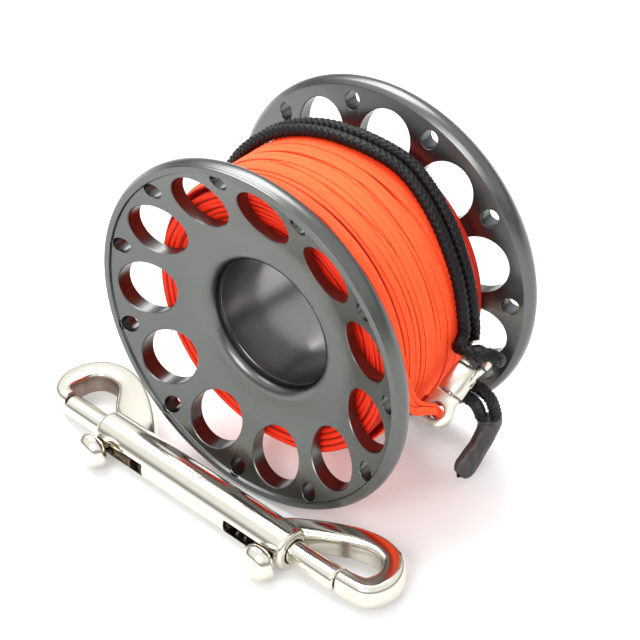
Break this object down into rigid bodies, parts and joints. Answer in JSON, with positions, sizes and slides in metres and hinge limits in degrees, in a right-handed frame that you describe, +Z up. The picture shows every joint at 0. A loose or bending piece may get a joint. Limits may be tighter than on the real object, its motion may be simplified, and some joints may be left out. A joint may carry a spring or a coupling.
{
  "type": "finger spool",
  "caption": "Finger spool of braided line between two perforated metal flanges, with an elastic cord, a small swivel snap and a loose double-ended bolt snap.",
  "frame": {"origin": "middle of the bounding box's footprint, on the surface that the spool and the bolt snap stand on", "axes": "+Y along the spool's axis from the front flange to the rear one, +Z up, +X to the right along the bolt snap"},
  "size_m": [0.097, 0.067, 0.077],
  "materials": {
    "satin_aluminium": "satin gunmetal anodising",
    "dark_aluminium": "satin gunmetal anodising",
    "inner_line": "braided line",
    "line": "flat braid of bright orange line",
    "elastic_cord": "glossy braid",
    "heat_shrink": "shrunk tube",
    "polished_steel": "polished stainless steel",
    "spring_steel": "drawn wire"
  },
  "bodies": {
    "spool": {"flange_front": "satin_aluminium", "flange_rear": "satin_aluminium", "hub_sleeve": "dark_aluminium", "line_core": "inner_line", "line_winding": "line", "cord_loop": "elastic_cord", "cord_sleeve": "heat_shrink", "link_eye": "polished_steel"},
    "link": {"link_body": "polished_steel", "link_gate_pin": "polished_steel"},
    "gate": {"link_gate": "polished_steel"},
    "snap": {"snap_body": "polished_steel", "snap_spring_left": "spring_steel", "snap_spring_right": "spring_steel"},
    "bolt_left": {"snap_bolt_left": "polished_steel", "snap_thumb_left": "polished_steel"},
    "bolt_right": {"snap_bolt_right": "polished_steel", "snap_thumb_right": "polished_steel"}
  },
  "joints": [
    {"name": "link_swivel", "type": "hinge", "parent": "spool", "child": "link", "pos_m": [0.03888, 0.00943, 0.03131], "axis": [0.1122, 0.7773, 0.619], "range_deg": [-5, 5]},
    {"name": "link_gate_hinge", "type": "hinge", "parent": "link", "child": "gate", "pos_m": [0.04093, 0.0117, 0.03279], "axis": [0.1478, -0.6291, 0.7632], "range_deg": [0, 28], "stiffness_Nm_per_rad": 0.002, "springref_deg": -11.46},
    {"name": "snap_slide", "type": "slide", "parent": "spool", "child": "snap", "axis": [0, -1, 0], "range_m": [0, 0.04]},
    {"name": "bolt_left_slide", "type": "slide", "parent": "snap", "child": "bolt_left", "axis": [0.9973, -0.0732, 0], "range_m": [0, 0.011], "stiffness_N_per_m": 150, "springref_m": -0.004, "deforming": ["snap_spring_left"]},
    {"name": "bolt_right_slide", "type": "slide", "parent": "snap", "child": "bolt_right", "axis": [-0.9973, 0.0732, 0], "range_m": [0, 0.011], "stiffness_N_per_m": 150, "springref_m": -0.004, "deforming": ["snap_spring_right"]}
  ]
}
